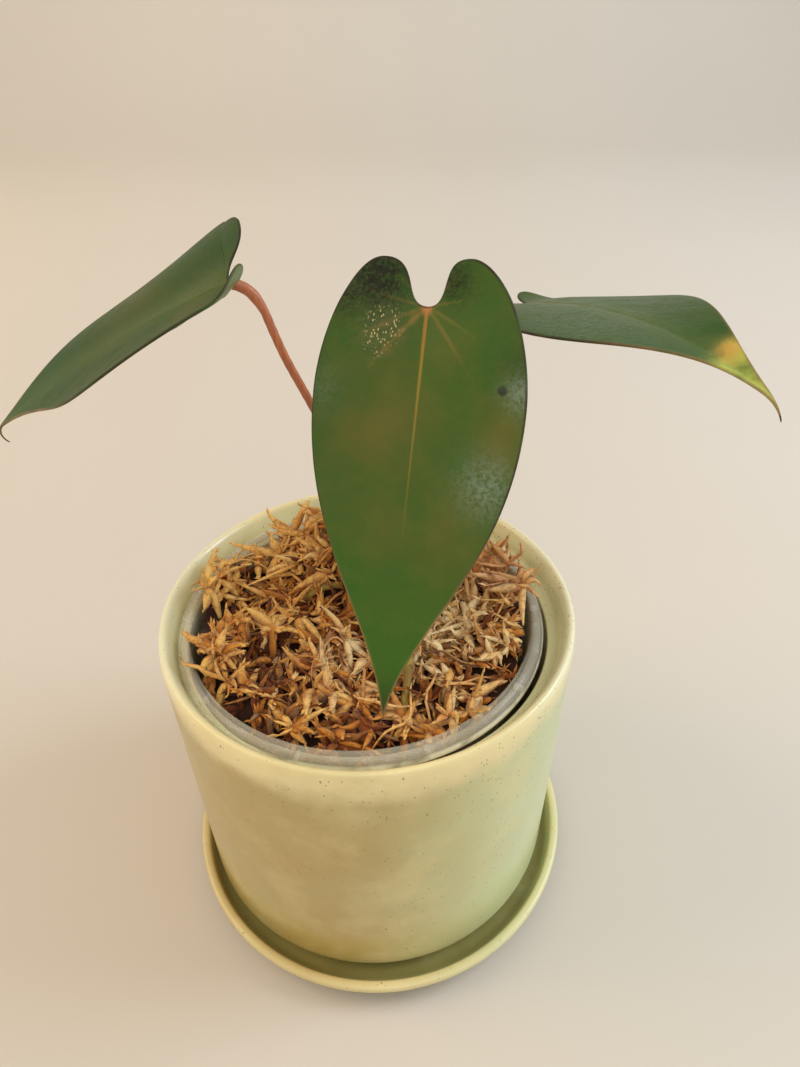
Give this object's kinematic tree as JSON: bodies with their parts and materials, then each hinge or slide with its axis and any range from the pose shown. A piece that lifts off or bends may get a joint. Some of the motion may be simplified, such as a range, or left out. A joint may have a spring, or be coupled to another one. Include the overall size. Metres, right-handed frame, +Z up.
{
  "type": "potted anthurium hybrid",
  "caption": "Young anthurium hybrid with three heart-shaped leaves on slender petioles, rooted in sphagnum moss in a clear inner pot inside a glazed celadon cover pot on its saucer.",
  "frame": {"origin": "on the saucer's flat underside, below the cover pot's axis", "axes": "+Z up, -Y to the front where the hanging leaf is, +X to the right"},
  "size_m": [0.2287, 0.1604, 0.2585],
  "materials": {
    "celadon_glaze": "satin gloss, pale celadon green with olive and cream areas and fine dark specks",
    "clear_plastic": "clear, lightly scuffed",
    "sphagnum": "dry, matte strands, ochre to bleached cream",
    "plant_stem": "matte, green to tan",
    "petiole": "smooth, reddish brown",
    "leaf": "satin, deep green with a dark thin margin and an orange-brown midrib"
  },
  "bodies": {
    "root": {"saucer": "celadon_glaze", "cover_pot": "celadon_glaze", "inner_pot": "clear_plastic", "moss": "sphagnum", "stem_and_roots": "plant_stem", "petiole_front": "petiole", "petiole_left": "petiole", "petiole_right": "petiole", "leaf_front": "leaf", "leaf_left": "leaf", "leaf_right": "leaf"}
  },
  "joints": []
}
